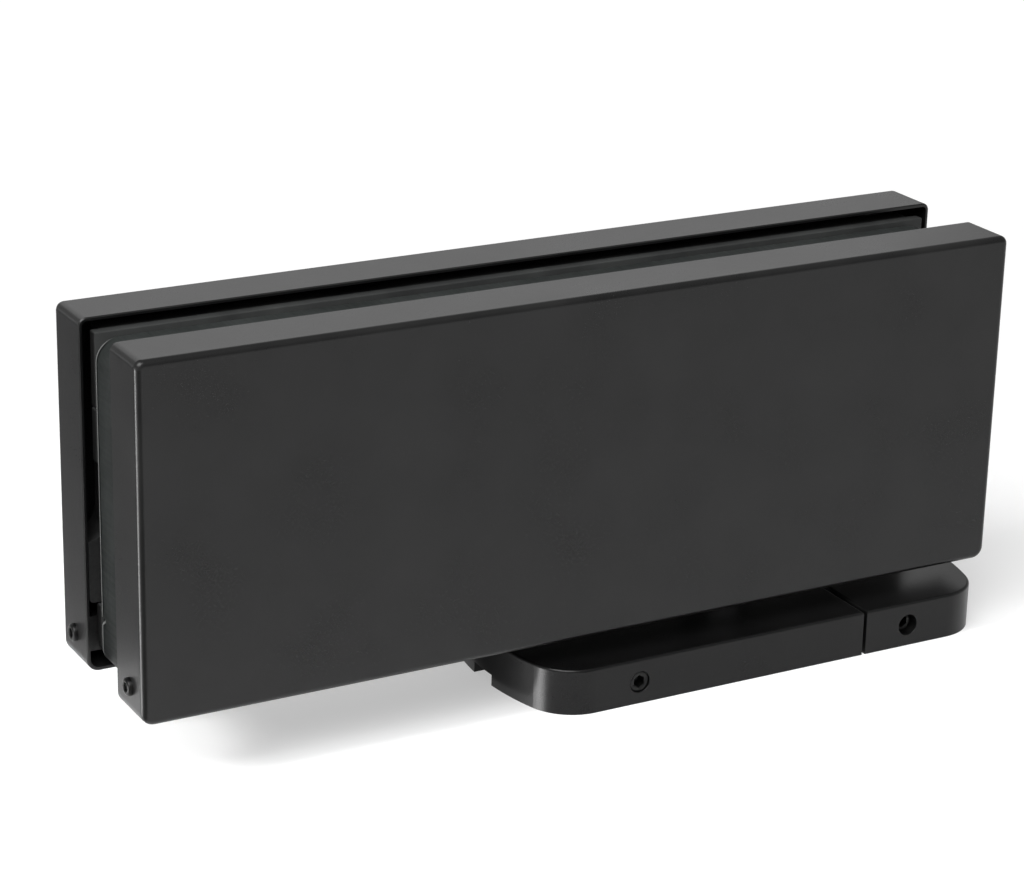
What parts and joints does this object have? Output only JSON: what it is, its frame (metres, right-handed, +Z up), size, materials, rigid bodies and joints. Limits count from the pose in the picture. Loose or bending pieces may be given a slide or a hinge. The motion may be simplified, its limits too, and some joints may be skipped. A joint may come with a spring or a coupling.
{
  "type": "free swing glass door hinge",
  "caption": "Black bottom patch hinge for a frameless glass door: two box covers on a glass clamp that swings freely on a spindle over a low two-part floor plate.",
  "frame": {"origin": "on the pivot axis, on the underside of the floor plate, which is the finished floor", "axes": "+X along the door's bottom edge towards its jamb side, +Y through the glass away from the viewer of the picture, +Z up the pivot axis"},
  "size_m": [0.1669, 0.0416, 0.0737],
  "materials": {
    "black_coat": "satin",
    "casting": "black dip",
    "gasket_rubber": "matt",
    "packer_plastic": "satin",
    "screw_steel": "blackened",
    "bolt_steel": "blackened",
    "spindle_steel": "turned",
    "bearing_steel": "ground",
    "spring_steel": "blued",
    "cage_brass": "pressed",
    "seal_rubber": "matt"
  },
  "bodies": {
    "floor_base": {"floor_plate": "black_coat", "end_block": "black_coat", "end_block_dowels": "bearing_steel"},
    "pivot": {"spindle_shoe": "spindle_steel", "spindle": "spindle_steel", "spindle_circlip": "spring_steel", "thrust_shaft_washer": "bearing_steel", "radial_inner_ring": "bearing_steel"},
    "door_side": {"main_body": "casting", "front_clamp_plate": "casting", "thrust_housing_washer": "bearing_steel", "radial_outer_ring": "bearing_steel", "bearing_circlip": "spring_steel", "housing_cap": "casting", "dust_seal": "seal_rubber", "clamp_bolts": "bolt_steel", "front_cover": "black_coat", "rear_cover": "black_coat", "front_cover_screws": "screw_steel", "rear_cover_screws": "screw_steel", "front_gasket_top": "gasket_rubber", "front_gasket_middle": "gasket_rubber", "front_gasket_foot": "gasket_rubber", "rear_gasket_top": "gasket_rubber", "rear_gasket_middle": "gasket_rubber", "rear_gasket_foot": "gasket_rubber"},
    "thrust_set": {"thrust_balls": "bearing_steel", "thrust_cage": "cage_brass"},
    "radial_set": {"radial_balls": "bearing_steel", "radial_cage": "cage_brass"},
    "packer": {"glass_packer": "packer_plastic"},
    "adjuster_front_left": {"adjuster_front_left": "screw_steel"},
    "adjuster_front_right": {"adjuster_front_right": "screw_steel"},
    "adjuster_rear_left": {"adjuster_rear_left": "screw_steel"},
    "adjuster_rear_right": {"adjuster_rear_right": "screw_steel"}
  },
  "joints": [
    {"name": "shoe_alignment", "type": "hinge", "parent": "floor_base", "child": "pivot", "pos_m": [0, 0, 0], "axis": [0, 0, 1], "range_deg": [-2, 2]},
    {"name": "door_swing", "type": "hinge", "parent": "pivot", "child": "door_side", "pos_m": [0, 0, 0], "axis": [0, 0, 1], "range_deg": [-90, 90]},
    {"name": "thrust_roll", "type": "hinge", "parent": "pivot", "child": "thrust_set", "pos_m": [0, 0, 0.02], "axis": [0, 0, 1], "range_deg": [-60, 60]},
    {"name": "radial_roll", "type": "hinge", "parent": "pivot", "child": "radial_set", "pos_m": [0, 0, 0.0305], "axis": [0, 0, 1], "range_deg": [-60, 60]},
    {"name": "packer_lift", "type": "slide", "parent": "door_side", "child": "packer", "axis": [0, 0, 1], "range_m": [0, 0.062]},
    {"name": "adjuster_front_left_turn_in", "type": "slide", "parent": "floor_base", "child": "adjuster_front_left", "axis": [0, 1, 0], "range_m": [-0.001, 0.001]},
    {"name": "adjuster_front_right_turn_in", "type": "slide", "parent": "floor_base", "child": "adjuster_front_right", "axis": [0, 1, 0], "range_m": [-0.001, 0.001]},
    {"name": "adjuster_rear_left_turn_in", "type": "slide", "parent": "floor_base", "child": "adjuster_rear_left", "axis": [0, 1, 0], "range_m": [-0.001, 0.001]},
    {"name": "adjuster_rear_right_turn_in", "type": "slide", "parent": "floor_base", "child": "adjuster_rear_right", "axis": [0, 1, 0], "range_m": [-0.001, 0.001]}
  ],
  "couplings": [
    {"joint": "thrust_roll", "follows": "door_swing", "ratio": 0.5},
    {"joint": "radial_roll", "follows": "door_swing", "ratio": 0.6},
    {"joint": "adjuster_front_left_turn_in", "follows": "shoe_alignment", "m_per_rad": -0.0282},
    {"joint": "adjuster_front_right_turn_in", "follows": "shoe_alignment", "m_per_rad": 0.0282},
    {"joint": "adjuster_rear_left_turn_in", "follows": "shoe_alignment", "m_per_rad": -0.0282},
    {"joint": "adjuster_rear_right_turn_in", "follows": "shoe_alignment", "m_per_rad": 0.0282}
  ]
}
